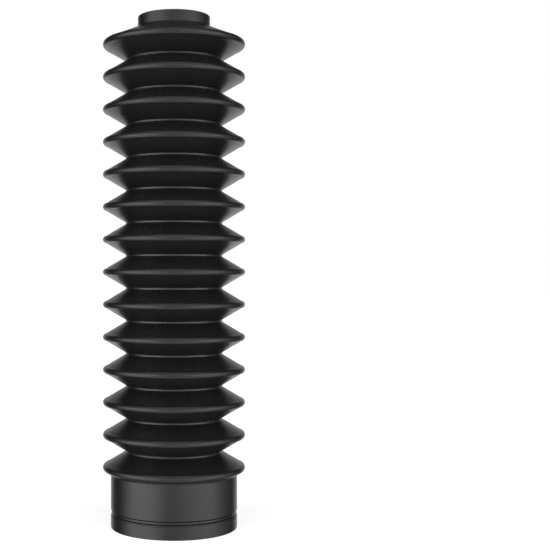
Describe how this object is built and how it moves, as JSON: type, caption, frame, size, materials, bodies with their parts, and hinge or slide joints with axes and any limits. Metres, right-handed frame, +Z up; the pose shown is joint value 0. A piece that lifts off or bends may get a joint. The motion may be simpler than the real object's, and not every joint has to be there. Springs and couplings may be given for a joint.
{
  "type": "fork gaiter",
  "caption": "Moulded black rubber bellows sleeve for a fork leg: even beaded folds between a wide grooved lower collar and a narrow upper collar.",
  "frame": {"origin": "centre of the foot of the lower collar, on the plane that the gaiter stands on", "axes": "+Z up the gaiter's axis, from the lower collar to the upper one; the gaiter is a turned shape, so +X and +Y are any two directions square to it, with +Y away from the picture's camera"},
  "size_m": [0.0782, 0.0782, 0.2801],
  "materials": {
    "moulded_rubber": "satin black, as moulded"
  },
  "bodies": {
    "root": {"fork_gaiter": "moulded_rubber"}
  },
  "joints": []
}
